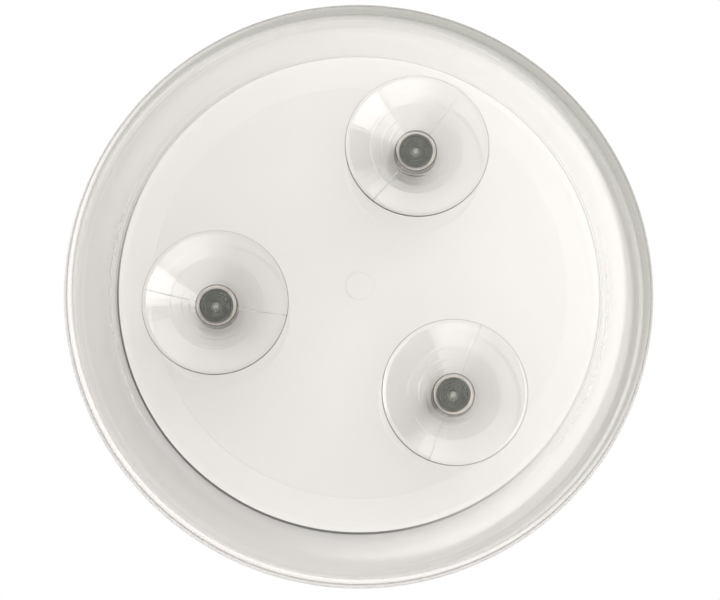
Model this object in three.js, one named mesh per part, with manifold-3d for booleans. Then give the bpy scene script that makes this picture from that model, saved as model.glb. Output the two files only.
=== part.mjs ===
// Round magnifying makeup mirror that hangs on a wall by three suction cups. Sizes are in millimetres.
// The wall is the plane y = 0 and +Y points into it, +Z is up, and the mirror's face looks along -Y.
// The origin lies on the mirror's axis, in the plane of the three cup lips.
import * as THREE from "three";
import { mergeVertices } from "three/addons/utils/BufferGeometryUtils.js";
import Module from "manifold-3d";

// Mirror glass, dished on its face
const mirrorDiameter = 138;
const glassThickness = 3;
const faceCurveRadius = 600;

// Safety film on the back of the glass
const filmMargin = 10;
const filmThickness = 0.25;

// Clear frame round the glass
const frameWidth = 15;
const shellWall = 2.5;
const shoulderWidth = 13;
const shoulderDepth = 11;
const gateDiameter = 8.4;
const gateDepth = 0.3;
const tongueLength = 2.5;
const tongueThickness = 1.1;
const lipOverlap = 2.5;
const lipThickness = 2;
const lipEdgeRound = 1;
const frontEdgeRound = 4;
const collarThickness = 1.7;
const collarRise = 1.2;
const retainerWidth = 3;
const retainerThickness = 1;

// Suction cups, on a circle about the mirror's axis, with angles in degrees as seen from the wall
const cupCircleRadius = 40.3;
const cupAngles = [67.3, 189.5, 309.4];
const cupDiameter = 40;
const hollowDepth = 5;
const hubFaceDiameter = 11;
const hubFaceRound = 1.6;
const lipWidth = 1.1;
const lipEdgeThickness = 0.8;
const skirtThickness = 1.5;
const hubFlankDiameter = 26;
const neckDiameter = 12.6;
const neckRound = 3.2;
const headCover = 1.7;
const neckLength = 2;

// Screw moulded into each cup, with its washers and nut
const shankDiameter = 4;
const tailChamfer = 0.5;
const tailLength = 0.8;
const headDiameter = 9;
const headHeight = 2.4;
const headEdge = 0.4;
const headDimpleDiameter = 1.2;
const headDimpleDepth = 0.25;
const neckWasherDiameter = 12.2;
const neckWasherThickness = 1;
const innerWasherDiameter = 9;
const innerWasherThickness = 0.8;
const nutAcrossFlats = 7;
const nutHeight = 2.2;
const nutChamfer = 0.3;

// Clearances
const fitGap = 0.1;
const runningGap = 0.15;
const shankClearance = 0.25;
const edgeClearance = 0.35;
const insideClearance = 0.6;

// Fineness of the round surfaces
const frameSides = 48;
const cupSides = 32;
const hardwareSides = 16;
const nutSides = 6;
const dishSteps = 4;
const shoulderSteps = 6;
const edgeSteps = 3;

// Radii
const glassRadius = mirrorDiameter / 2;
const outerRadius = glassRadius + frameWidth;
const flatRadius = outerRadius - shoulderWidth;
const wallInnerRadius = outerRadius - shellWall;
const tongueOuterRadius = wallInnerRadius + tongueThickness;
const filmRadius = glassRadius - filmMargin;
const lipRadius = glassRadius - lipOverlap;
const collarInnerRadius = glassRadius + edgeClearance;
const collarOuterRadius = collarInnerRadius + collarThickness;
const retainerOuterRadius = collarInnerRadius - fitGap;
const retainerInnerRadius = retainerOuterRadius - retainerWidth;
const cupRadius = cupDiameter / 2;
const neckRadius = neckDiameter / 2;
const headRadius = headDiameter / 2;
const shankRadius = shankDiameter / 2;
const shankHoleRadius = shankRadius + shankClearance;

// Places along the mirror's axis, from the wall towards the face
const hubFaceY = -hollowDepth;
const headTopY = hubFaceY - headCover;
const headFloorY = headTopY - headHeight;
const neckBaseY = headFloorY - neckLength;
const neckWasherTopY = neckBaseY - fitGap;
const shellBackY = neckWasherTopY - neckWasherThickness - runningGap;
const shellInnerY = shellBackY - shellWall;
const innerWasherTopY = shellInnerY - runningGap;
const nutTopY = innerWasherTopY - innerWasherThickness - fitGap;
const tailY = nutTopY - nutHeight - tailLength;
const glassBackY = tailY - insideClearance;
const glassFrontY = glassBackY - glassThickness;
const seatY = glassFrontY - dishDrop(glassRadius, faceCurveRadius) - fitGap;
const frontY = seatY - lipThickness;
const equatorY = shellBackY - shoulderDepth;
const rebateFloorY = equatorY - tongueLength - runningGap;
const collarTopY = backOfGlass(glassRadius) + collarRise;

// How far a dished surface of the given radius falls away at a distance from the axis
function dishDrop(distance, radius) {
  return radius - Math.sqrt(radius * radius - distance * distance);
}

function faceOfGlass(distance) {
  return glassFrontY - dishDrop(distance, faceCurveRadius);
}

function backOfGlass(distance) {
  return glassBackY - dishDrop(distance, faceCurveRadius + glassThickness);
}

function at(radius, y) {
  return new THREE.Vector2(radius, y);
}

// Points of a dished surface from one radius to another, raised by lift
function dishPoints(surface, fromRadius, toRadius, lift = 0) {
  const points = [];
  for (let step = 0; step <= dishSteps; step++) {
    const radius = fromRadius + ((toRadius - fromRadius) * step) / dishSteps;
    points.push(at(radius, surface(radius) + lift));
  }
  return points;
}

// A quarter of an ellipse about a centre, between two angles in degrees
function quarter(centre, across, along, fromAngle, toAngle, steps) {
  const from = THREE.MathUtils.degToRad(fromAngle);
  const to = THREE.MathUtils.degToRad(toAngle);
  return new THREE.EllipseCurve(centre.x, centre.y, across, along, from, to, to < from).getPoints(steps);
}

// A rounded corner between two straight lines
function corner(start, vertex, end) {
  return new THREE.QuadraticBezierCurve(start, vertex, end).getPoints(edgeSteps);
}

function pointToward(start, end, distance) {
  return end.clone().sub(start).setLength(distance).add(start);
}

function finish(look) {
  return new THREE.MeshStandardMaterial({
    color: look.colour,
    roughness: look.roughness,
    metalness: look.metalness,
    opacity: look.opacity,
    transparent: look.opacity < 1,
  });
}

// A body turned about the Y axis from a profile listed counter-clockwise, axis to the left
function turned(points, sides) {
  return new THREE.LatheGeometry(points, sides);
}

function closedRing(points) {
  return [...points, points[0].clone()];
}

function flatRing(innerRadius, ringOuterRadius, bottomY, topY) {
  return closedRing([
    at(innerRadius, bottomY),
    at(ringOuterRadius, bottomY),
    at(ringOuterRadius, topY),
    at(innerRadius, topY),
  ]);
}

const wasm = await Module();
wasm.setup();

function solidFrom(geometry) {
  const bare = geometry.clone();
  bare.deleteAttribute("normal");
  bare.deleteAttribute("uv");
  const merged = mergeVertices(bare);
  return new wasm.Manifold(
    new wasm.Mesh({
      numProp: 3,
      vertProperties: merged.attributes.position.array,
      triVerts: new Uint32Array(merged.index.array),
    }),
  );
}

function geometryFrom(solid) {
  const mesh = solid.getMesh();
  const geometry = new THREE.BufferGeometry();
  geometry.setAttribute("position", new THREE.BufferAttribute(mesh.vertProperties, mesh.numProp));
  geometry.setIndex(new THREE.BufferAttribute(mesh.triVerts, 1));
  geometry.computeVertexNormals();
  return geometry;
}

// A round cutter along Y, centred on a place
function cutter(radius, bottomY, topY, place) {
  const geometry = new THREE.CylinderGeometry(radius, radius, topY - bottomY, hardwareSides);
  geometry.translate(place.x, (bottomY + topY) / 2, place.z);
  return solidFrom(geometry);
}

function cupPlace(degrees) {
  const angle = THREE.MathUtils.degToRad(degrees);
  return new THREE.Vector3(-Math.cos(angle) * cupCircleRadius, 0, Math.sin(angle) * cupCircleRadius);
}

const cupPlaces = cupAngles.map(cupPlace);

function rearShell() {
  const shoulderCentre = at(flatRadius, equatorY);
  const shell = turned(
    [
      at(0, shellInnerY),
      ...quarter(shoulderCentre, shoulderWidth - shellWall, shoulderDepth - shellWall, 90, 0, shoulderSteps),
      at(wallInnerRadius, equatorY - tongueLength),
      at(tongueOuterRadius, equatorY - tongueLength),
      at(tongueOuterRadius, equatorY),
      ...quarter(shoulderCentre, shoulderWidth, shoulderDepth, 0, 90, shoulderSteps),
      at(gateDiameter / 2, shellBackY),
      at(gateDiameter / 2 - gateDepth, shellBackY - gateDepth),
      at(0, shellBackY - gateDepth),
    ],
    frameSides,
  );
  const holeBottomY = shellInnerY - shellWall;
  const holeTopY = shellBackY + shellWall;
  const pierced = cupPlaces.reduce(
    (solid, place) => solid.subtract(cutter(shankHoleRadius, holeBottomY, holeTopY, place)),
    solidFrom(shell),
  );
  return geometryFrom(pierced);
}

function frontBezel() {
  const frontCorner = at(outerRadius - frontEdgeRound, frontY + frontEdgeRound);
  const lipCorner = at(lipRadius + lipEdgeRound, frontY + lipEdgeRound);
  return turned(
    closedRing([
      ...quarter(frontCorner, frontEdgeRound, frontEdgeRound, -90, 0, edgeSteps),
      at(outerRadius, equatorY),
      at(tongueOuterRadius + runningGap, equatorY),
      at(tongueOuterRadius + runningGap, rebateFloorY),
      at(wallInnerRadius, rebateFloorY),
      at(wallInnerRadius, seatY),
      at(collarOuterRadius, seatY),
      at(collarOuterRadius, collarTopY),
      at(collarInnerRadius, collarTopY),
      at(collarInnerRadius, seatY),
      at(lipRadius, seatY),
      ...quarter(lipCorner, lipEdgeRound, lipEdgeRound, 180, 270, edgeSteps),
    ]),
    frameSides,
  );
}

function mirrorGlass() {
  return turned(
    [...dishPoints(faceOfGlass, 0, glassRadius), ...dishPoints(backOfGlass, glassRadius, 0)],
    frameSides,
  );
}

function safetyFilm() {
  return turned(
    [
      ...dishPoints(backOfGlass, 0, filmRadius, fitGap),
      ...dishPoints(backOfGlass, filmRadius, 0, fitGap + filmThickness),
    ],
    frameSides,
  );
}

// A flat clear ring in the bezel's collar that keeps the glass on its seat
function retainingRing() {
  const innerFloorY = backOfGlass(retainerInnerRadius) + fitGap;
  const outerFloorY = backOfGlass(retainerOuterRadius) + fitGap;
  return turned(
    closedRing([
      at(retainerInnerRadius, innerFloorY),
      at(retainerOuterRadius, outerFloorY),
      at(retainerOuterRadius, outerFloorY + retainerThickness),
      at(retainerInnerRadius, innerFloorY + retainerThickness),
    ]),
    frameSides,
  );
}

// The soft cup: a hollow cone with a flat lip, a flank that thickens to the hub, and a neck round the screw
function suctionCup() {
  const hubFaceEdge = at(hubFaceDiameter / 2, hubFaceY);
  const hollowMouth = at(cupRadius - lipWidth, 0);
  const flankRadius = hubFlankDiameter / 2;
  const hollowSlope = hollowDepth / (hollowMouth.x - hubFaceEdge.x);
  const flankTop = at(flankRadius, -(hollowMouth.x - flankRadius) * hollowSlope - skirtThickness);
  const neckShoulder = at(neckRadius, headFloorY + headHeight / 2);
  const pocketRadius = headRadius + fitGap;
  return turned(
    [
      at(0, headTopY + fitGap),
      at(pocketRadius, headTopY + fitGap),
      at(pocketRadius, headFloorY - fitGap),
      at(shankRadius + fitGap, headFloorY - fitGap),
      at(shankRadius + fitGap, neckBaseY),
      at(neckRadius, neckBaseY),
      ...corner(
        pointToward(neckShoulder, at(neckRadius, neckBaseY), neckRound / 2),
        neckShoulder,
        pointToward(neckShoulder, flankTop, neckRound),
      ),
      flankTop,
      at(cupRadius, -lipEdgeThickness),
      at(cupRadius, 0),
      hollowMouth,
      ...corner(
        pointToward(hubFaceEdge, hollowMouth, hubFaceRound),
        hubFaceEdge,
        at(hubFaceEdge.x - hubFaceRound, hubFaceY),
      ),
      at(0, hubFaceY),
    ],
    cupSides,
  );
}

function cupScrew() {
  return turned(
    [
      at(0, tailY),
      at(shankRadius - tailChamfer, tailY),
      at(shankRadius, tailY + tailChamfer),
      at(shankRadius, headFloorY),
      at(headRadius, headFloorY),
      at(headRadius, headTopY - headEdge),
      at(headRadius - headEdge, headTopY),
      at(headDimpleDiameter / 2, headTopY),
      at(0, headTopY - headDimpleDepth),
    ],
    cupSides,
  );
}

function washer(diameter, thickness, topY) {
  return turned(flatRing(shankHoleRadius, diameter / 2, topY - thickness, topY), hardwareSides);
}

// A thin hexagon nut with its corners turned off at both ends
function lockNut() {
  const cornerRadius = nutAcrossFlats / 2 / Math.cos(Math.PI / nutSides);
  const bottomY = nutTopY - nutHeight;
  const hexagon = new THREE.CylinderGeometry(cornerRadius, cornerRadius, nutHeight, nutSides);
  hexagon.translate(0, bottomY + nutHeight / 2, 0);
  const rounded = turned(
    [
      at(0, bottomY),
      at(cornerRadius - nutChamfer, bottomY),
      at(cornerRadius, bottomY + nutChamfer),
      at(cornerRadius, nutTopY - nutChamfer),
      at(cornerRadius - nutChamfer, nutTopY),
      at(0, nutTopY),
    ],
    hardwareSides,
  );
  const bore = cutter(shankRadius + fitGap, bottomY - nutHeight, nutTopY + nutHeight, new THREE.Vector3());
  return geometryFrom(solidFrom(hexagon).intersect(solidFrom(rounded)).subtract(bore));
}

const looks = {
  clearPlastic: { colour: 0xf2f0ec, roughness: 0.06, metalness: 0, opacity: 0.35 },
  softClear: { colour: 0xeceae6, roughness: 0.15, metalness: 0, opacity: 0.45 },
  silvered: { colour: 0xdfe4e6, roughness: 0.03, metalness: 1, opacity: 1 },
  whiteFilm: { colour: 0xe9e6e2, roughness: 0.5, metalness: 0, opacity: 1 },
  darkPlate: { colour: 0x6b6e69, roughness: 0.35, metalness: 1, opacity: 1 },
  zincPlate: { colour: 0xa7a9a4, roughness: 0.35, metalness: 1, opacity: 1 },
};

function piece(name, geometry, look) {
  const mesh = new THREE.Mesh(geometry, finish(look));
  mesh.name = name;
  return mesh;
}

const mirror = new THREE.Group();
mirror.add(
  piece("rear_shell", rearShell(), looks.clearPlastic),
  piece("front_bezel", frontBezel(), looks.clearPlastic),
  piece("mirror_glass", mirrorGlass(), looks.silvered),
  piece("safety_film", safetyFilm(), looks.whiteFilm),
  piece("retaining_ring", retainingRing(), looks.clearPlastic),
);

cupPlaces.forEach((place, index) => {
  const label = index + 1;
  const neckWasher = washer(neckWasherDiameter, neckWasherThickness, neckWasherTopY);
  const innerWasher = washer(innerWasherDiameter, innerWasherThickness, innerWasherTopY);
  const cup = new THREE.Group();
  cup.position.copy(place);
  cup.add(
    piece(`suction_cup_${label}`, suctionCup(), looks.softClear),
    piece(`cup_screw_${label}`, cupScrew(), looks.darkPlate),
    piece(`neck_washer_${label}`, neckWasher, looks.zincPlate),
    piece(`inner_washer_${label}`, innerWasher, looks.zincPlate),
    piece(`lock_nut_${label}`, lockNut(), looks.zincPlate),
  );
  mirror.add(cup);
});

export default mirror;
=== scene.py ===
import math

import bmesh
import bpy
from mathutils import Matrix, Vector


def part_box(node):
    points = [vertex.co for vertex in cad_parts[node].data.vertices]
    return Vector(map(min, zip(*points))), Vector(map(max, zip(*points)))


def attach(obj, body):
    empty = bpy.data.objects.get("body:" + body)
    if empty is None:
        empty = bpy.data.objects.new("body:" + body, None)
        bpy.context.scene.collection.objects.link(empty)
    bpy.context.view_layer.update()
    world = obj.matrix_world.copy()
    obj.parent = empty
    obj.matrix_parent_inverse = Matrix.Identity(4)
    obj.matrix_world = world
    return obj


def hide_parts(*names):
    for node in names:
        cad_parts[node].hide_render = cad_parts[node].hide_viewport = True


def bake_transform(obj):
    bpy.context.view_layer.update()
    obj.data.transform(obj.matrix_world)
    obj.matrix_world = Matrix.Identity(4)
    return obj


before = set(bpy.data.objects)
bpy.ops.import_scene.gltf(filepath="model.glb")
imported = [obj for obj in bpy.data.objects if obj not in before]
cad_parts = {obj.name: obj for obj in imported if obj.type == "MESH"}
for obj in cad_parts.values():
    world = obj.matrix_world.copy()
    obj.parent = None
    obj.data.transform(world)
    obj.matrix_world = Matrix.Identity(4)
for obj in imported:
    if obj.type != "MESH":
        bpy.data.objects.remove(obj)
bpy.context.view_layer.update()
scene = bpy.context.scene
mm = 0.001
# Slack for picking faces by their place, in millimetres, and the least angle of a sharp edge, in degrees
slack = 0.01
sharpEdge = 35

print("stage: helpers")


# Corners are (radius, y, rounding) in millimetres, in the plane of a turned profile
def roundedPath(corners, closed=False, steps=5):
    path = []
    count = len(corners)
    for index, (across, along, rounding) in enumerate(corners):
        here = Vector((across, along))
        if rounding == 0 or (not closed and index in (0, count - 1)):
            path.append(here)
            continue
        before = (Vector(corners[index - 1][:2]) - here).normalized()
        after = (Vector(corners[(index + 1) % count][:2]) - here).normalized()
        half = before.angle(after) / 2
        centre = here + (before + after).normalized() * (rounding / math.sin(half))
        fromArm = here + before * (rounding / math.tan(half)) - centre
        toArm = here + after * (rounding / math.tan(half)) - centre
        arms = [fromArm.slerp(toArm, step / steps).normalized() for step in range(steps + 1)]
        path += [centre + arm * rounding for arm in arms]
    return path


# Long straight runs get a point near each end, so that smooth shading stays flat between them
def heldPath(path, closed=False, reach=0.25, longest=2.5):
    held = []
    pairs = list(zip(path, path[1:] + path[:1])) if closed else list(zip(path, path[1:]))
    for start, end in pairs:
        held.append(start)
        run = end - start
        if run.length > longest:
            held.append(start + run.normalized() * reach)
            held.append(end - run.normalized() * reach)
    return held if closed else held + [path[-1]]


def quarterPath(centre, across, along, fromAngle, toAngle, steps):
    angles = [math.radians(fromAngle + (toAngle - fromAngle) * step / steps) for step in range(steps + 1)]
    return [Vector((centre[0] + across * math.cos(a), centre[1] + along * math.sin(a))) for a in angles]


def dishDrop(distance, radius):
    return radius - math.sqrt(radius * radius - distance * distance)


def dishPath(apex, radius, fromDistance, toDistance, steps):
    distances = [fromDistance + (toDistance - fromDistance) * step / steps for step in range(steps + 1)]
    return [Vector((distance, apex - dishDrop(distance, radius))) for distance in distances]


# A profile spun about the Y axis, in one or more runs of (angle, steps)
def turnedMesh(path, runs, closed=False):
    work = bmesh.new()
    points = [work.verts.new((point[0] * mm, point[1] * mm, 0)) for point in path]
    rails = [work.edges.new(pair) for pair in zip(points, points[1:])]
    if closed:
        rails.append(work.edges.new((points[-1], points[0])))
    last = points + rails
    for angle, steps in runs:
        spun = bmesh.ops.spin(
            work,
            geom=last,
            cent=(0, 0, 0),
            axis=(0, 1, 0),
            angle=angle,
            steps=steps,
            use_merge=len(runs) == 1,
            use_duplicate=False,
        )
        last = spun["geom_last"]
    bmesh.ops.remove_doubles(work, verts=work.verts[:], dist=1e-7)
    bmesh.ops.recalc_face_normals(work, faces=work.faces[:])
    return work


def spunMesh(path, steps, closed=False):
    return turnedMesh(path, [(math.tau, steps)], closed)


def makePiece(name, work, materials, sharpAngle=sharpEdge):
    mesh = bpy.data.meshes.new(name)
    work.to_mesh(mesh)
    work.free()
    for material in materials:
        mesh.materials.append(material)
    mesh.shade_smooth()
    mesh.set_sharp_from_angle(angle=math.radians(sharpAngle))
    piece = bpy.data.objects.new(name, mesh)
    scene.collection.objects.link(piece)
    return piece


def standFor(piece, node, body=None):
    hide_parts(node)
    if body:
        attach(piece, body)
    return piece


# Each point's place about its own cup axis, kept with the mesh when it turns or flattens
def storePlace(mesh, toLocal):
    place = mesh.attributes.new("cupPlace", "FLOAT_VECTOR", "POINT")
    for vertex, entry in zip(mesh.vertices, place.data):
        entry.vector = toLocal @ vertex.co


def addNode(tree, kind, inputs=None, **settings):
    made = tree.nodes.new(kind)
    for key, value in settings.items():
        setattr(made, key, value)
    for key, value in (inputs or {}).items():
        if isinstance(value, bpy.types.NodeSocket):
            tree.links.new(value, made.inputs[key])
        else:
            made.inputs[key].default_value = value
    return made


def newMaterial(name):
    material = bpy.data.materials.new(name)
    material.use_nodes = True
    material.node_tree.nodes.clear()
    return material, material.node_tree


def objectPlace(tree):
    return addNode(tree, "ShaderNodeTexCoord").outputs["Object"]


def cupPlace(tree):
    return addNode(tree, "ShaderNodeAttribute", attribute_name="cupPlace").outputs["Vector"]


def spread(tree, value, low, high, toLow, toHigh):
    inputs = {"Value": value, "From Min": low, "From Max": high, "To Min": toLow, "To Max": toHigh}
    return addNode(tree, "ShaderNodeMapRange", inputs).outputs["Result"]


def blendColours(tree, share, first, second):
    mixed = addNode(tree, "ShaderNodeMix", {"Factor": share}, data_type="RGBA")
    mixed.inputs[6].default_value = (*first, 1)
    mixed.inputs[7].default_value = (*second, 1)
    return mixed.outputs[2]


def layTint(tree, share, colour, tint):
    mixed = addNode(tree, "ShaderNodeMix", {"Factor": share, 6: colour}, data_type="RGBA")
    mixed.inputs[7].default_value = (*tint, 1)
    return mixed.outputs[2]


def addNoise(tree, where, scale, detail):
    inputs = {"Vector": where, "Scale": scale, "Detail": detail}
    return addNode(tree, "ShaderNodeTexNoise", inputs).outputs["Fac"]


def addBump(tree, height, strength, distance, before=None):
    inputs = {"Height": height, "Strength": strength, "Distance": distance}
    if before:
        inputs["Normal"] = before
    return addNode(tree, "ShaderNodeBump", inputs).outputs["Normal"]


def measure(tree, operation, first, second):
    inputs = {0: first, 1: second}
    return addNode(tree, "ShaderNodeVectorMath", inputs, operation=operation).outputs["Value"]


def combine(tree, operation, first, second):
    return addNode(tree, "ShaderNodeMath", {0: first, 1: second}, operation=operation).outputs["Value"]


def mixShaders(tree, share, first, second):
    return addNode(tree, "ShaderNodeMixShader", {0: share, 1: first, 2: second}).outputs["Shader"]


print("stage: materials")

# The part of a noise's range that a roughness is spread over
clearSpan = (0.35, 0.65)
solidSpan = (0.3, 0.7)


# Flow marks that run out from the axis
def addStreaks(tree, look, where, before):
    flat = addNode(tree, "ShaderNodeVectorMath", {0: where, 1: (1, 0, 1)}, operation="MULTIPLY")
    ray = addNode(tree, "ShaderNodeVectorMath", {0: flat.outputs["Vector"]}, operation="NORMALIZE")
    marks = addNoise(tree, ray.outputs["Vector"], look["streakScale"], 3)
    return addBump(tree, marks, look["streakStrength"], look["streakHeight"], before)


# Clear plastic that lets lamps through, a little less at its edges
def clearMaterial(name, look, place):
    material, tree = newMaterial(name)
    where = place(tree)
    cloud = addNoise(tree, where, look["cloudScale"], 4)
    ripple = addNoise(tree, where, look["rippleScale"], 2)
    bump = addBump(tree, ripple, look["rippleStrength"], look["rippleHeight"])
    if "streakScale" in look:
        bump = addStreaks(tree, look, where, bump)
    body = addNode(
        tree,
        "ShaderNodeBsdfPrincipled",
        {
            "Base Color": blendColours(tree, cloud, look["tint"], look["tintOther"]),
            "Roughness": spread(tree, cloud, *clearSpan, *look["roughness"]),
            "IOR": look["ior"],
            "Transmission Weight": 1,
            "Normal": bump,
        },
    )
    facing = addNode(tree, "ShaderNodeLayerWeight", {"Blend": 0.5}).outputs["Facing"]
    edge = spread(tree, facing, *look["shadowSpan"], 0, 1)
    lamps = addNode(
        tree,
        "ShaderNodeBsdfTransparent",
        {"Color": blendColours(tree, edge, look["shadowClear"], look["shadowEdge"])},
    )
    shadowed = addNode(tree, "ShaderNodeLightPath").outputs["Is Shadow Ray"]
    mixed = mixShaders(tree, shadowed, body.outputs["BSDF"], lamps.outputs["BSDF"])
    addNode(tree, "ShaderNodeOutputMaterial", {"Surface": mixed})
    return material


# Painted shade: a darker tint that grows toward the side that lies in shade
def addPaintedShade(tree, look, where, colour):
    toward = measure(tree, "DOT_PRODUCT", where, look["paintedShadeToward"])
    return layTint(tree, spread(tree, toward, *look["paintedShadeSpan"], 0, 1), colour, look["paintedShadeTint"])


# Opaque paint, film, haze or ground glass with a faint mottle
def paintMaterial(name, look, place):
    material, tree = newMaterial(name)
    where = place(tree)
    cloud = addNoise(tree, where, look["cloudScale"], 5)
    grain = addNoise(tree, where, look["grainScale"], 2)
    colour = blendColours(tree, cloud, look["tint"], look["tintOther"])
    # Painted shade toward one side, where the surface lies in shade
    if "paintedShadeToward" in look:
        colour = addPaintedShade(tree, look, where, colour)
    body = addNode(
        tree,
        "ShaderNodeBsdfPrincipled",
        {
            "Base Color": colour,
            "Roughness": spread(tree, grain, *solidSpan, *look["roughness"]),
            "Metallic": look["metallic"],
            "Normal": addBump(tree, grain, look["grainStrength"], look["grainHeight"]),
        },
    )
    addNode(tree, "ShaderNodeOutputMaterial", {"Surface": body.outputs["BSDF"]})
    return material


# Painted highlight: a paler spot near the middle of the head's face
def addPaintedHighlight(tree, look, where, colour):
    away = measure(tree, "DISTANCE", where, look["paintedHighlightPlace"])
    return layTint(tree, spread(tree, away, *look["paintedHighlightSpan"], 1, 0), colour, look["paintedHighlightTint"])


# Plated steel with turning marks about the cup's axis
def platedMaterial(name, look):
    material, tree = newMaterial(name)
    where = cupPlace(tree)
    rings = addNode(
        tree,
        "ShaderNodeTexWave",
        {"Vector": where, "Scale": look["ringScale"], "Distortion": 1.5, "Detail": 2, "Detail Scale": 1.5},
        wave_type="RINGS",
        rings_direction="Y",
    )
    cloud = addNoise(tree, where, look["cloudScale"], 4)
    colour = blendColours(tree, cloud, look["tint"], look["tintOther"])
    # Painted highlight near the middle of the head
    if "paintedHighlightTint" in look:
        colour = addPaintedHighlight(tree, look, where, colour)
    body = addNode(
        tree,
        "ShaderNodeBsdfPrincipled",
        {
            "Base Color": colour,
            "Roughness": spread(tree, cloud, *solidSpan, *look["roughness"]),
            "Metallic": 1,
            "Normal": addBump(tree, rings.outputs["Fac"], look["ringStrength"], look["ringHeight"]),
        },
    )
    addNode(tree, "ShaderNodeOutputMaterial", {"Surface": body.outputs["BSDF"]})
    return material


clearLook = {
    "tint": (0.986, 0.983, 0.981),
    "tintOther": (0.976, 0.973, 0.971),
    "cloudScale": 40,
    "roughness": (0.006, 0.02),
    "ior": 1.55,
    "rippleScale": 22,
    "rippleStrength": 0.02,
    "rippleHeight": 0.0008,
    "shadowSpan": (0.25, 0.9),
    "shadowClear": (0.93, 0.93, 0.925),
    "shadowEdge": (0.84, 0.84, 0.83),
}
clearPlastic = clearMaterial("clearPlastic", clearLook, objectPlace)
# The collar and ring hardly show, and the inner part of the glued joint doesn't show at all
faintPlastic = clearMaterial(
    "faintPlastic",
    clearLook
    | {
        "tint": (0.99, 0.99, 0.985),
        "tintOther": (0.985, 0.985, 0.98),
        "roughness": (0, 0.01),
        "ior": 1.012,
        "shadowClear": (0.97, 0.97, 0.965),
        "shadowEdge": (0.93, 0.93, 0.925),
    },
    objectPlace,
)
bondedPlastic = clearMaterial(
    "bondedPlastic",
    clearLook
    | {
        "tint": (1, 1, 1),
        "tintOther": (0.99, 0.99, 0.99),
        "roughness": (0, 0.004),
        "ior": 1.004,
        "shadowClear": (1, 1, 1),
        "shadowEdge": (0.98, 0.98, 0.98),
    },
    objectPlace,
)
# Glue haze in the outer part of the joint, with painted shade: greyer toward the upper right of the view,
# where the rim lies in shade
jointHazeWithPaintedShade = paintMaterial(
    "jointHazeWithPaintedShade",
    {
        "tint": (0.66, 0.65, 0.635),
        "tintOther": (0.62, 0.61, 0.595),
        # Painted shade: the grey that grows toward the upper right
        "paintedShadeTint": (0.47, 0.46, 0.44),
        "paintedShadeToward": (-0.643, 0, 0.766),
        "paintedShadeSpan": (0.02, 0.08),
        "cloudScale": 60,
        "grainScale": 900,
        "grainStrength": 0.1,
        "grainHeight": 0.0001,
        "roughness": (0.5, 0.7),
        "metallic": 0,
    },
    objectPlace,
)
softClear = clearMaterial(
    "softClear",
    {
        "tint": (0.985, 0.982, 0.975),
        "tintOther": (0.975, 0.972, 0.964),
        "cloudScale": 220,
        "roughness": (0.015, 0.04),
        "ior": 1.53,
        "rippleScale": 260,
        "rippleStrength": 0.12,
        "rippleHeight": 0.0002,
        "streakScale": 9,
        "streakStrength": 0.5,
        "streakHeight": 0.00008,
        "shadowSpan": (0.15, 0.8),
        "shadowClear": (0.95, 0.948, 0.942),
        "shadowEdge": (0.66, 0.655, 0.645),
    },
    cupPlace,
)
whitePaint = paintMaterial(
    "whitePaint",
    {
        "tint": (0.84, 0.827, 0.815),
        "tintOther": (0.82, 0.807, 0.795),
        "cloudScale": 18,
        "grainScale": 900,
        "grainStrength": 0.15,
        "grainHeight": 0.0001,
        "roughness": (0.38, 0.55),
        "metallic": 0,
    },
    objectPlace,
)
whiteFilm = paintMaterial(
    "whiteFilm",
    {
        "tint": (0.812, 0.798, 0.785),
        "tintOther": (0.797, 0.783, 0.770),
        "cloudScale": 14,
        "grainScale": 1400,
        "grainStrength": 0.1,
        "grainHeight": 0.0001,
        "roughness": (0.45, 0.6),
        "metallic": 0,
    },
    objectPlace,
)
silver = paintMaterial(
    "silver",
    {
        "tint": (0.93, 0.94, 0.95),
        "tintOther": (0.90, 0.915, 0.925),
        "cloudScale": 9,
        "grainScale": 60,
        "grainStrength": 0,
        "grainHeight": 0.0001,
        "roughness": (0.01, 0.035),
        "metallic": 1,
    },
    objectPlace,
)
# The glass's ground edge, with painted shade: nearly black toward the lower left, where the edge lies in
# shade
groundEdgeWithPaintedShade = paintMaterial(
    "groundEdgeWithPaintedShade",
    {
        "tint": (0.74, 0.73, 0.71),
        "tintOther": (0.66, 0.65, 0.63),
        # Painted shade toward the lower left
        "paintedShadeTint": (0.035, 0.038, 0.028),
        "paintedShadeToward": (0.616, 0, -0.788),
        "paintedShadeSpan": (0.006, 0.052),
        "cloudScale": 300,
        "grainScale": 2500,
        "grainStrength": 0.4,
        "grainHeight": 0.0002,
        "roughness": (0.35, 0.6),
        "metallic": 0,
    },
    objectPlace,
)
darkPlate = platedMaterial(
    "darkPlate",
    {
        "tint": (0.12, 0.13, 0.105),
        "tintOther": (0.03, 0.034, 0.026),
        # Painted highlight: a paler spot near the middle of the face
        "paintedHighlightTint": (0.26, 0.27, 0.23),
        "paintedHighlightPlace": (0.0002, -0.0068, -0.0005),
        "paintedHighlightSpan": (0.0004, 0.0017),
        "ringScale": 420,
        "ringStrength": 0.8,
        "ringHeight": 0.0001,
        "cloudScale": 500,
        "roughness": (0.22, 0.42),
    },
)
zincPlate = platedMaterial(
    "zincPlate",
    {
        "tint": (0.52, 0.50, 0.46),
        "tintOther": (0.44, 0.39, 0.36),
        "ringScale": 700,
        "ringStrength": 0.25,
        "ringHeight": 0.0001,
        "cloudScale": 350,
        "roughness": (0.3, 0.5),
    },
)

print("stage: frame")

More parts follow.
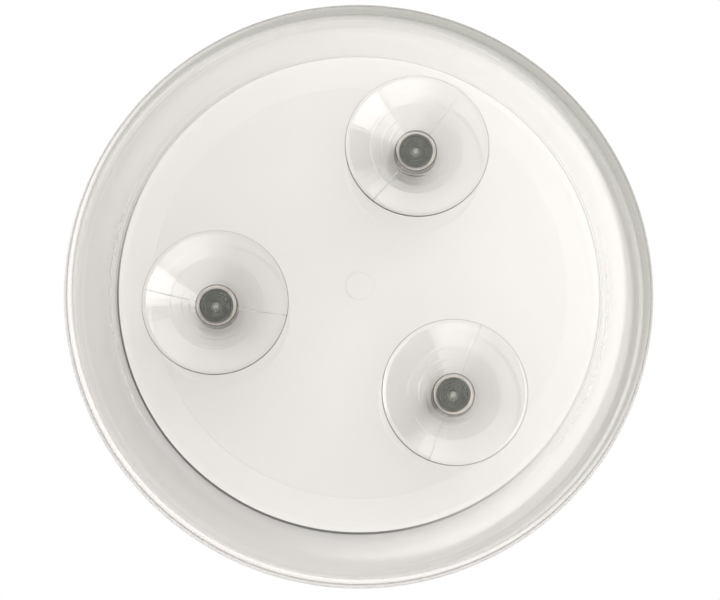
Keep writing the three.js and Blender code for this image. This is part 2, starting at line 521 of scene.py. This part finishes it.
shell = {
    "backY": -12.35,
    "innerY": -14.85,
    "flatRadius": 71,
    "outerRadius": 84,
    "wall": 2.5,
    "equatorY": -23.35,
    "skirt": 0.6,
    "jointRound": 0.05,
    "innerEnd": 3,
    "outerEnd": 2,
    "gateFrom": 70,
    "gateRadius": 4.2,
    "gateDepth": 0.3,
    "gateRound": 0.1,
    "holeRadius": 2.25,
    "holeSegments": 48,
    "drillDepth": 7.5,
    "flatNormal": 0.99999,
    "steps": 384,
    "curveSteps": 36,
}
shellBore = shell["outerRadius"] - shell["wall"]
skirtY = shell["equatorY"] + shell["skirt"]
gateFloorY = shell["backY"] - shell["gateDepth"]
shellMiddle = (shell["flatRadius"], shell["equatorY"])
shellWide = shell["outerRadius"] - shell["flatRadius"]
shellHigh = shell["backY"] - shell["equatorY"]
shellPath = heldPath(
    [Vector((0, shell["innerY"]))]
    + quarterPath(
        shellMiddle,
        shellWide - shell["wall"],
        shellHigh - shell["wall"],
        90,
        shell["innerEnd"],
        shell["curveSteps"],
    )
    + roundedPath(
        [
            (shellBore, skirtY, 0),
            (shellBore, shell["equatorY"], shell["jointRound"]),
            (shell["outerRadius"], shell["equatorY"], 0),
            (shell["outerRadius"], skirtY, 0),
        ]
    )[1:-1]
    + quarterPath(shellMiddle, shellWide, shellHigh, shell["outerEnd"], 90, shell["curveSteps"])
    + roundedPath(
        [
            (shell["gateFrom"], shell["backY"], 0),
            (shell["gateRadius"], shell["backY"], shell["gateRound"]),
            (shell["gateRadius"] - shell["gateDepth"], gateFloorY, shell["gateRound"]),
            (0, gateFloorY, 0),
        ]
    )
)
shellWork = spunMesh(shellPath, shell["steps"])
for face in shellWork.faces:
    if face.calc_center_median().y < (shell["equatorY"] + slack) * mm:
        face.material_index = 1
rearShell = makePiece("rearShell", shellWork, [clearPlastic, bondedPlastic])

cupCentres = [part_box(f"suction_cup_{label}") for label in (1, 2, 3)]
cupCentres = [(low + high) / 2 for low, high in cupCentres]

drill = bmesh.new()
for centre in cupCentres:
    place = Matrix.Translation((centre.x, shell["innerY"] * mm, centre.z))
    bmesh.ops.create_cone(
        drill,
        cap_ends=True,
        segments=shell["holeSegments"],
        radius1=shell["holeRadius"] * mm,
        radius2=shell["holeRadius"] * mm,
        depth=shell["drillDepth"] * mm,
        matrix=place @ Matrix.Rotation(math.pi / 2, 4, "X"),
    )
drillMesh = bpy.data.meshes.new("drill")
drill.to_mesh(drillMesh)
drill.free()
drillPiece = bpy.data.objects.new("drill", drillMesh)
scene.collection.objects.link(drillPiece)
holes = rearShell.modifiers.new("studHoles", "BOOLEAN")
holes.object = drillPiece
holes.operation = "DIFFERENCE"
holes.solver = "EXACT"
pierced = bpy.data.meshes.new_from_object(rearShell.evaluated_get(bpy.context.evaluated_depsgraph_get()))
pierced.shade_smooth()
pierced.set_sharp_from_angle(angle=math.radians(sharpEdge))
# Smooth shading would leave dark streaks on the flats round the holes
for polygon in pierced.polygons:
    polygon.use_smooth = abs(polygon.normal.y) < shell["flatNormal"]
rearShell.modifiers.clear()
rearShell.data = pierced
bpy.data.objects.remove(drillPiece)
standFor(rearShell, "rear_shell", "mirror_body")

bezel = {
    "frontY": -28.581,
    "seatY": -26.581,
    "topY": -23.32,
    "outerRadius": 84,
    "wallInner": 81.5,
    "hazeInner": 82.5,
    "draft": 0.3,
    "outerDraft": 0.45,
    "collarInner": 69.32,
    "collarOuter": 71.05,
    "collarTopY": -22.26,
    "lipRadius": 66.5,
    "wallRound": 3,
    "cornerRound": 4,
    "jointRound": 0.05,
    "collarRound": 0.1,
    "lipRound": 0.3,
    "frontRound": 1,
    "steps": 384,
}
collarRound = bezel["collarRound"]
bezelPath = heldPath(
    roundedPath(
        [
            (bezel["outerRadius"] - bezel["outerDraft"], bezel["frontY"], bezel["cornerRound"]),
            (bezel["outerRadius"], bezel["topY"], 0),
            (bezel["hazeInner"], bezel["topY"], 0),
            (bezel["wallInner"], bezel["topY"], bezel["jointRound"]),
            (bezel["wallInner"] - bezel["draft"], bezel["seatY"], bezel["wallRound"]),
            (bezel["collarOuter"], bezel["seatY"], collarRound),
            (bezel["collarOuter"], bezel["collarTopY"], collarRound),
            (bezel["collarInner"], bezel["collarTopY"], collarRound),
            (bezel["collarInner"], bezel["seatY"], collarRound),
            (bezel["lipRadius"], bezel["seatY"], bezel["lipRound"]),
            (bezel["lipRadius"], bezel["frontY"], bezel["frontRound"]),
        ],
        closed=True,
        steps=7,
    ),
    closed=True,
)
bezelWork = spunMesh(bezelPath, bezel["steps"], closed=True)
for face in bezelWork.faces:
    middle = face.calc_center_median()
    away = math.hypot(middle.x, middle.z) / mm
    onCollar = bezel["collarInner"] - collarRound < away < bezel["collarOuter"] + collarRound
    if middle.y > (bezel["topY"] - slack) * mm and away > bezel["wallInner"]:
        face.material_index = 3 if away > bezel["hazeInner"] else 2
    elif onCollar and middle.y > bezel["seatY"] * mm:
        face.material_index = 1
frontBezel = makePiece("frontBezel", bezelWork, [clearPlastic, faintPlastic, bondedPlastic, jointHazeWithPaintedShade])
standFor(frontBezel, "front_bezel", "mirror_body")

print("stage: mirror")

glass = {
    "radius": 69,
    "backApex": -19.5,
    "thickness": 3,
    "faceCurve": 600,
    "chamfer": 0.6,
    "faceNormal": 0.9,
    "steps": 192,
    "dishSteps": 24,
}
glassInset = glass["radius"] - glass["chamfer"]
glassFace = dishPath(
    glass["backApex"] - glass["thickness"], glass["faceCurve"], 0, glassInset, glass["dishSteps"]
)
glassBack = dishPath(
    glass["backApex"], glass["faceCurve"] + glass["thickness"], glassInset, 0, glass["dishSteps"]
)
glassPath = (
    glassFace
    + [Vector((glass["radius"], glassFace[-1][1] + glass["chamfer"]))]
    + [Vector((glass["radius"], glassBack[0][1] - glass["chamfer"]))]
    + glassBack
)
glassWork = spunMesh(glassPath, glass["steps"])
for face in glassWork.faces:
    if face.normal.y > glass["faceNormal"]:
        face.material_index = 1
    elif face.normal.y > -glass["faceNormal"]:
        face.material_index = 2
mirrorGlass = makePiece("mirrorGlass", glassWork, [silver, whitePaint, groundEdgeWithPaintedShade])
standFor(mirrorGlass, "mirror_glass", "mirror_body")

film = {
    "radius": 59,
    "lift": 0.03,
    "thickness": 0.08,
    "inset": 0.1,
    "curve": 603,
    "steps": 160,
    "dishSteps": 20,
}
filmApex = glass["backApex"] + film["lift"]
filmPath = dishPath(filmApex, film["curve"], 0, film["radius"], film["dishSteps"]) + dishPath(
    filmApex + film["thickness"], film["curve"], film["radius"] - film["inset"], 0, film["dishSteps"]
)
safetyFilm = makePiece("safetyFilm", spunMesh(filmPath, film["steps"]), [whiteFilm])
standFor(safetyFilm, "safety_film", "mirror_body")

retainer = {"inner": 66.25, "outer": 69.2, "topY": -22.3, "lift": 0.05, "round": 0.1, "steps": 192}
retainerFloor = [
    (radius, glass["backApex"] - dishDrop(radius, film["curve"]) + retainer["lift"])
    for radius in (retainer["inner"], retainer["outer"])
]
retainerPath = roundedPath(
    [(radius, floorY, retainer["round"]) for radius, floorY in retainerFloor]
    + [(retainer[side], retainer["topY"], retainer["round"]) for side in ("outer", "inner")],
    closed=True,
    steps=4,
)
retainingRing = makePiece(
    "retainingRing",
    spunMesh(heldPath(retainerPath, closed=True), retainer["steps"], closed=True),
    [faintPlastic],
)
standFor(retainingRing, "retaining_ring", "mirror_body")

print("stage: cups")

cup = {
    "lipRadius": 20,
    "mouthRadius": 18.9,
    "lipEdge": 0.8,
    "hubRadius": 5.5,
    "hubY": -5,
    "flankRadius": 13,
    "flankY": -3.7,
    "neckRadius": 6,
    "neckTopY": -7.9,
    "neckBaseY": -11.1,
    "pocketRadius": 4.65,
    "pocketTopY": -6.75,
    "pocketFloorY": -9.05,
    "boreRadius": 1.95,
    "pocketRound": 0.1,
    "neckRound": 0.15,
    "waistRound": 0.6,
    "flankRound": 2.5,
    "lipRound": 0.3,
    "mouthRound": 0.8,
    "hubRound": 1.2,
    "rings": (12.6, 9.6, 7.6),
    "ringHalf": 0.25,
    "ringHeight": 0.045,
    "seamHalf": 0.9,
    "seamHeight": 0.09,
    "seamFrom": 5.6,
    "seamFloorY": -8.5,
    "seamReach": 0.002,
    "seamSteps": 4,
    "sharpEdge": 32,
    "steps": 64,
    "seamAngles": (51.5, -10.2, 68.3),
    "leanAngles": (1.9, 3, 5.5),
    "leanToward": (45, 98, 0),
    "softFromY": -8,
}
hollowSlope = -cup["hubY"] / (cup["mouthRadius"] - cup["hubRadius"])
ringPath = []
for radius in cup["rings"]:
    for offset, lift in ((cup["ringHalf"], 0), (0, cup["ringHeight"]), (-cup["ringHalf"], 0)):
        wallY = cup["hubY"] + (radius + offset - cup["hubRadius"]) * hollowSlope
        ringPath.append((radius + offset, wallY + lift, 0))
pocketRound = cup["pocketRound"]
cupPath = heldPath(
    roundedPath(
        [
            (0, cup["pocketTopY"], 0),
            (cup["pocketRadius"], cup["pocketTopY"], pocketRound),
            (cup["pocketRadius"], cup["pocketFloorY"], pocketRound),
            (cup["boreRadius"], cup["pocketFloorY"], pocketRound),
            (cup["boreRadius"], cup["neckBaseY"], pocketRound),
            (cup["neckRadius"], cup["neckBaseY"], cup["neckRound"]),
            (cup["neckRadius"], cup["neckTopY"], cup["waistRound"]),
            (cup["flankRadius"], cup["flankY"], cup["flankRound"]),
            (cup["lipRadius"], -cup["lipEdge"], cup["lipRound"]),
            (cup["lipRadius"], 0, cup["lipRound"]),
            (cup["mouthRadius"], 0, cup["mouthRound"]),
            *ringPath,
            (cup["hubRadius"], cup["hubY"], cup["hubRound"]),
            (0, cup["hubY"], 0),
        ],
        steps=7,
    ),
    longest=1.5,
)


# The seam is a narrow run of steps on two sides, with its middle raised
def makeCup(index):
    label = index + 1
    seamHalf = math.radians(cup["seamHalf"])
    runs = [(2 * seamHalf, cup["seamSteps"]), (math.pi - 2 * seamHalf, cup["steps"])] * 2
    work = turnedMesh(cupPath, runs)
    bmesh.ops.rotate(work, verts=work.verts[:], cent=(0, 0, 0), matrix=Matrix.Rotation(-seamHalf, 3, "Y"))
    work.normal_update()
    for vertex in work.verts:
        away = math.hypot(vertex.co.x, vertex.co.z)
        onSeam = abs(vertex.co.z) < cup["seamReach"] * away
        if onSeam and away > cup["seamFrom"] * mm and vertex.co.y > cup["seamFloorY"] * mm:
            vertex.co += vertex.normal * cup["seamHeight"] * mm
    # Angles are as seen from the wall, where the view's right is -X
    seam = math.radians(cup["seamAngles"][index])
    turn = Matrix.Rotation(math.pi + seam, 3, "Y")
    bmesh.ops.rotate(work, verts=work.verts[:], cent=(0, 0, 0), matrix=turn)
    lean = math.tan(math.radians(cup["leanAngles"][index]))
    toward = math.radians(cup["leanToward"][index])
    leanSide = Vector((-math.cos(toward), 0, math.sin(toward)))
    for vertex in work.verts:
        away = math.hypot(vertex.co.x, vertex.co.z)
        past = max(away - cup["hubRadius"] * mm, 0)
        if past > 0 and vertex.co.y > cup["neckTopY"] * mm:
            vertex.co.y -= lean * past * vertex.co.dot(leanSide) / away
    centre = Vector((cupCentres[index].x, 0, cupCentres[index].z))
    bmesh.ops.translate(work, verts=work.verts[:], vec=centre)
    piece = makePiece(f"suctionCup{label}", work, [softClear], cup["sharpEdge"])
    storePlace(piece.data, turn.inverted().to_4x4() @ Matrix.Translation(-centre))
    standFor(piece, f"suction_cup_{label}")
    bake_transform(piece)
    return piece


cups = [makeCup(index) for index in range(3)]

print("stage: hardware")

screw = {
    "headRadius": 4.7,
    "headTopY": -6.7,
    "headFloorY": -9.1,
    "darkFromY": -8.2,
    "headEdge": 0.15,
    "floorRound": 0.2,
    "dimpleRadius": 1,
    "dimpleDepth": 0.2,
    "dimpleRound": 0.05,
    "dimpleStep": (0.8, 0.2),
    "grooves": (1.6, 2.3, 3.0, 3.7),
    "grooveHalf": 0.22,
    "grooveDepth": 0.08,
    "shankRadius": 2,
    "rootRadius": 1.68,
    "threadTopY": -11.6,
    "runout": 0.3,
    "threads": 10,
    "pitch": 0.7,
    "crestLift": 0.35,
    "flank": 0.25,
    "tailY": -18.9,
    "steps": 64,
}
threadPath = []
for turnNumber in range(screw["threads"]):
    crestY = screw["tailY"] + screw["crestLift"] + screw["pitch"] * turnNumber
    threadPath += [(screw["rootRadius"], crestY - screw["flank"], 0), (screw["shankRadius"], crestY, 0)]
groovePath = []
for radius in reversed(screw["grooves"]):
    groovePath += [
        (radius + screw["grooveHalf"], screw["headTopY"], 0),
        (radius, screw["headTopY"] - screw["grooveDepth"], 0),
        (radius - screw["grooveHalf"], screw["headTopY"], 0),
    ]
stepAcross, stepDown = screw["dimpleStep"]
screwPath = roundedPath(
    [(0, screw["tailY"], 0), (screw["rootRadius"], screw["tailY"], 0)]
    + threadPath
    + [
        (screw["rootRadius"], screw["threadTopY"], 0),
        (screw["shankRadius"], screw["threadTopY"] + screw["runout"], 0),
        (screw["shankRadius"], screw["headFloorY"], screw["floorRound"]),
        (screw["headRadius"], screw["headFloorY"], screw["floorRound"]),
        (screw["headRadius"], screw["headTopY"], screw["headEdge"]),
    ]
    + groovePath
    + [
        (screw["dimpleRadius"], screw["headTopY"], screw["dimpleRound"]),
        (screw["dimpleRadius"] * stepAcross, screw["headTopY"] - screw["dimpleDepth"] * stepDown, 0),
        (0, screw["headTopY"] - screw["dimpleDepth"], 0),
    ],
    steps=4,
)


# The head's face is darker than the rest of the screw
def screwMesh():
    work = spunMesh(screwPath, screw["steps"])
    for face in work.faces:
        if face.calc_center_median().y > screw["darkFromY"] * mm:
            face.material_index = 1
    return work


neckWasher = {
    "inner": 2.25,
    "outer": 5.75,
    "topY": -11.2,
    "thickness": 1,
    "round": 0.25,
    "boreRound": 0.1,
    "steps": 64,
}
innerWasher = neckWasher | {"outer": 4.5, "topY": -15.0, "thickness": 0.8, "round": 0.2}


def washerMesh(size):
    floorY = size["topY"] - size["thickness"]
    path = roundedPath(
        [
            (size["inner"], floorY, size["boreRound"]),
            (size["outer"], floorY, size["round"]),
            (size["outer"], size["topY"], size["round"]),
            (size["inner"], size["topY"], size["boreRound"]),
        ],
        closed=True,
        steps=4,
    )
    return spunMesh(path, size["steps"], closed=True)


nut = {
    "sides": 6,
    "acrossFlats": 7,
    "topY": -15.9,
    "height": 2.2,
    "boreRadius": 2.1,
    "chamfer": 0.3,
    "rimAngle": 1.2,
    "sideCuts": 5,
}


# A flat ring from the bore to the hexagon, drawn down to its height and chamfered on its rims
def nutMesh():
    work = bmesh.new()
    flat = Matrix.Translation((0, nut["topY"] * mm, 0)) @ Matrix.Rotation(-math.pi / 2, 4, "X")
    corner = nut["acrossFlats"] / 2 / math.cos(math.pi / nut["sides"])
    outline = bmesh.ops.create_circle(work, segments=nut["sides"], radius=corner * mm, matrix=flat)["verts"]
    sides = list({edge for vertex in outline for edge in vertex.link_edges})
    bmesh.ops.subdivide_edges(work, edges=sides, cuts=nut["sideCuts"])
    around = nut["sides"] * (nut["sideCuts"] + 1)
    bmesh.ops.create_circle(work, segments=around, radius=nut["boreRadius"] * mm, matrix=flat)
    bmesh.ops.bridge_loops(work, edges=work.edges[:])
    drawn = bmesh.ops.extrude_face_region(work, geom=work.faces[:])["geom"]
    moved = [item for item in drawn if isinstance(item, bmesh.types.BMVert)]
    bmesh.ops.translate(work, verts=moved, vec=(0, -nut["height"] * mm, 0))
    bmesh.ops.recalc_face_normals(work, faces=work.faces[:])
    closed = [edge for edge in work.edges if len(edge.link_faces) == 2]
    rims = [edge for edge in closed if edge.calc_face_angle() > nut["rimAngle"]]
    bmesh.ops.bevel(
        work, geom=rims, offset=nut["chamfer"] * mm, segments=1, profile=0.5, affect="EDGES", material=-1
    )
    bmesh.ops.recalc_face_normals(work, faces=work.faces[:])
    return work


hardwareEdge = 25


def makeHardware(index):
    label = index + 1
    centre = Vector((cupCentres[index].x, 0, cupCentres[index].z))
    kinds = [
        ("cupScrew", "cup_screw", screwMesh(), [zincPlate, darkPlate]),
        ("neckWasher", "neck_washer", washerMesh(neckWasher), [zincPlate]),
        ("innerWasher", "inner_washer", washerMesh(innerWasher), [zincPlate]),
        ("lockNut", "lock_nut", nutMesh(), [zincPlate]),
    ]
    for name, node, work, materials in kinds:
        bmesh.ops.translate(work, verts=work.verts[:], vec=centre)
        piece = makePiece(f"{name}{label}", work, materials, hardwareEdge)
        storePlace(piece.data, Matrix.Translation(-centre))
        standFor(piece, f"{node}_{label}", f"cup_{label}_stud")


for index in range(3):
    makeHardware(index)

print("stage: studio")

studio = {
    "tableY": -28.8,
    "tableRadius": 98,
    "tableFade": 86,
    "tableHole": 66.5,
    "tableShift": (8.0, -8.9),
    "tableTint": (0.95, 0.932, 0.922),
    "tableRoughness": 0.8,
    "tableSegments": 96,
    "behindSpan": (-0.05, -0.35),
    "beforeSpan": (0.15, 0.5),
    "low": (0.57, 0.56, 0.52),
    "sideDim": (0.28, 0.28, 0.25),
    "sideLit": (0.85, 0.838, 0.825),
    "sideAzimuth": 240,
    "sideSpan": (-0.95, 0.3),
    "front": (0.67, 0.66, 0.652),
    "window": (1.95, 1.924, 1.887),
    "windowAzimuth": 60,
    "windowAngle": 50,
    "windowSpan": (0.55, 1.0),
    "gap": (0.20, 0.205, 0.195),
    "panel": (2.6, 2.565, 2.522),
    "panelAzimuth": 345,
    "panelInner": (-0.15, 0.3),
    "panelOuter": (0.66, 0.76),
    "panelFoot": (-1.0, -0.55),
    "panelHead": (1.5, 2.0),
    "leastHeight": 0.05,
    "keyAt": (-0.327, 0.5, -0.004),
    "keyAim": (0, -0.012, 0),
    "keySize": (0.26, 0.234),
    "keyRadiance": 2.8,
    "fillAt": (-0.153, 0.142, 0.071),
    "fillSize": 0.12,
    "fillEnergy": 0.14,
}

# The mirror lies face down on a pale table, with a hole so that the face reflects the studio. The camera
# sees the table as plain white, and doesn't see its underside at all
tableWork = bmesh.new()
tablePlace = Vector((studio["tableShift"][0], studio["tableY"], studio["tableShift"][1])) * mm
bmesh.ops.create_circle(
    tableWork,
    cap_ends=True,
    segments=studio["tableSegments"],
    radius=studio["tableRadius"] * mm,
    matrix=Matrix.Translation(tablePlace) @ Matrix.Rotation(-math.pi / 2, 4, "X"),
)
tablePaint, tableTree = newMaterial("tablePaint")
tableBody = addNode(
    tableTree,
    "ShaderNodeBsdfPrincipled",
    {"Base Color": (*studio["tableTint"], 1), "Roughness": studio["tableRoughness"]},
)
tableWhite = addNode(tableTree, "ShaderNodeEmission", {"Color": (1, 1, 1, 1), "Strength": 1})
tableGone = addNode(tableTree, "ShaderNodeBsdfTransparent")
tableSeen = addNode(tableTree, "ShaderNodeLightPath").outputs["Is Camera Ray"]
tableBehind = addNode(tableTree, "ShaderNodeNewGeometry").outputs["Backfacing"]
tableAway = measure(tableTree, "DISTANCE", objectPlace(tableTree), tablePlace)
tableEdge = spread(tableTree, tableAway, studio["tableFade"] * mm, studio["tableRadius"] * mm, 0, 1)
tableInner = measure(tableTree, "DISTANCE", objectPlace(tableTree), (0, studio["tableY"] * mm, 0))
tableHole = combine(tableTree, "LESS_THAN", tableInner, studio["tableHole"] * mm)
tableOpen = combine(tableTree, "MAXIMUM", combine(tableTree, "MAXIMUM", tableBehind, tableEdge), tableHole)
tableShown = mixShaders(tableTree, tableSeen, tableBody.outputs["BSDF"], tableWhite.outputs["Emission"])
tableSided = mixShaders(tableTree, tableOpen, tableShown, tableGone.outputs["BSDF"])
addNode(tableTree, "ShaderNodeOutputMaterial", {"Surface": tableSided})
makePiece("table", tableWork, [tablePaint])

world = bpy.data.worlds.new("studio")
world.use_nodes = True
scene.world = world
sky = world.node_tree
sky.nodes.clear()
direction = addNode(sky, "ShaderNodeTexCoord").outputs["Generated"]
part = addNode(sky, "ShaderNodeSeparateXYZ", {"Vector": direction})
behind = spread(sky, part.outputs["Y"], *studio["behindSpan"], 0, 1)
before = spread(sky, part.outputs["Y"], *studio["beforeSpan"], 0, 1)
seen = addNode(sky, "ShaderNodeLightPath").outputs["Is Camera Ray"]


def layOver(share, below, above):
    mixed = addNode(sky, "ShaderNodeMix", {"Factor": share}, data_type="RGBA")
    for entry, colour in ((6, below), (7, above)):
        if isinstance(colour, bpy.types.NodeSocket):
            sky.links.new(colour, mixed.inputs[entry])
        else:
            mixed.inputs[entry].default_value = (*colour, 1)
    return mixed.outputs[2]


# Azimuths are as the photograph shows them, from its right, counterclockwise
def along(azimuth):
    turn = math.radians(azimuth)
    return measure(sky, "DOT_PRODUCT", direction, (-math.cos(turn), 0, math.sin(turn)))


# The panel has straight edges, so its reach is measured on a plane in front of the mirror
height = combine(sky, "MAXIMUM", part.outputs["Y"], studio["leastHeight"])
reach = combine(sky, "DIVIDE", along(studio["panelAzimuth"]), height)
climb = combine(sky, "DIVIDE", along(studio["panelAzimuth"] + 90), height)
onHeight = combine(
    sky,
    "MULTIPLY",
    spread(sky, climb, *studio["panelFoot"], 0, 1),
    spread(sky, climb, *studio["panelHead"], 1, 0),
)
onPanel = combine(sky, "MULTIPLY", spread(sky, reach, *studio["panelInner"], 0, 1), onHeight)
pastPanel = spread(sky, reach, *studio["panelOuter"], 0, 1)
windowLean = math.radians(studio["windowAngle"])
towardWindow = combine(
    sky,
    "ADD",
    combine(sky, "MULTIPLY", along(studio["windowAzimuth"]), math.sin(windowLean)),
    combine(sky, "MULTIPLY", part.outputs["Y"], math.cos(windowLean)),
)
level = layOver(spread(sky, towardWindow, *studio["windowSpan"], 0, 1), studio["front"], studio["window"])
level = layOver(onPanel, level, studio["panel"])
level = layOver(pastPanel, level, studio["gap"])
towardSide = spread(sky, along(studio["sideAzimuth"]), *studio["sideSpan"], 0, 1)
side = layOver(towardSide, studio["sideDim"], studio["sideLit"])
level = layOver(before, side, level)
level = layOver(behind, level, studio["low"])
level = layOver(seen, level, (1, 1, 1))
glow = addNode(sky, "ShaderNodeBackground", {"Color": level, "Strength": 1})
addNode(sky, "ShaderNodeOutputWorld", {"Surface": glow.outputs["Background"]})


def addLamp(name, at, size, energy):
    lamp = bpy.data.lights.new(name, "AREA")
    lamp.shape = "RECTANGLE"
    lamp.size, lamp.size_y = size
    lamp.energy = energy
    placed = bpy.data.objects.new(name, lamp)
    placed.location = at
    placed.rotation_euler = (Vector(studio["keyAim"]) - placed.location).to_track_quat("-Z", "Z").to_euler()
    placed.visible_camera = False
    scene.collection.objects.link(placed)
    return placed


# The key only shows as a reflection in the cups, and the fill only lights matt surfaces
keyEnergy = studio["keyRadiance"] * math.pi * studio["keySize"][0] * studio["keySize"][1]
key = addLamp("key", studio["keyAt"], studio["keySize"], keyEnergy)
key.visible_diffuse = False
keyTargets = bpy.data.collections.new("keyTargets")
for piece in cups:
    keyTargets.objects.link(piece)
key.light_linking.receiver_collection = keyTargets
fill = addLamp("fill", studio["fillAt"], (studio["fillSize"], studio["fillSize"]), studio["fillEnergy"])
fill.visible_glossy = False
fill.visible_transmission = False

print("stage: camera")

view = {
    "aim": (-0.00003, -0.015, -0.0038),
    "azimuth": 178.92,
    "elevation": -8.3,
    "distance": 0.54,
    "focalPixels": 1923,
    "widthPixels": 720,
    "sensor": 36,
    "clip": (0.01, 50),
}
turn = math.radians(view["azimuth"])
rise = math.radians(view["elevation"])
look = Vector((-math.sin(turn) * math.cos(rise), math.cos(turn) * math.cos(rise), -math.sin(rise)))
cameraData = bpy.data.cameras.new("camera")
cameraData.sensor_width = view["sensor"]
cameraData.lens = view["focalPixels"] * view["sensor"] / view["widthPixels"]
cameraData.clip_start, cameraData.clip_end = view["clip"]
camera = bpy.data.objects.new("camera", cameraData)
camera.location = Vector(view["aim"]) - look * view["distance"]
camera.rotation_euler = look.to_track_quat("-Z", "Y").to_euler()
scene.collection.objects.link(camera)
scene.camera = camera

scene.view_settings.view_transform = "Standard"
scene.cycles.max_bounces = 20
scene.cycles.transmission_bounces = 20
scene.cycles.transparent_max_bounces = 48
scene.cycles.glossy_bounces = 8
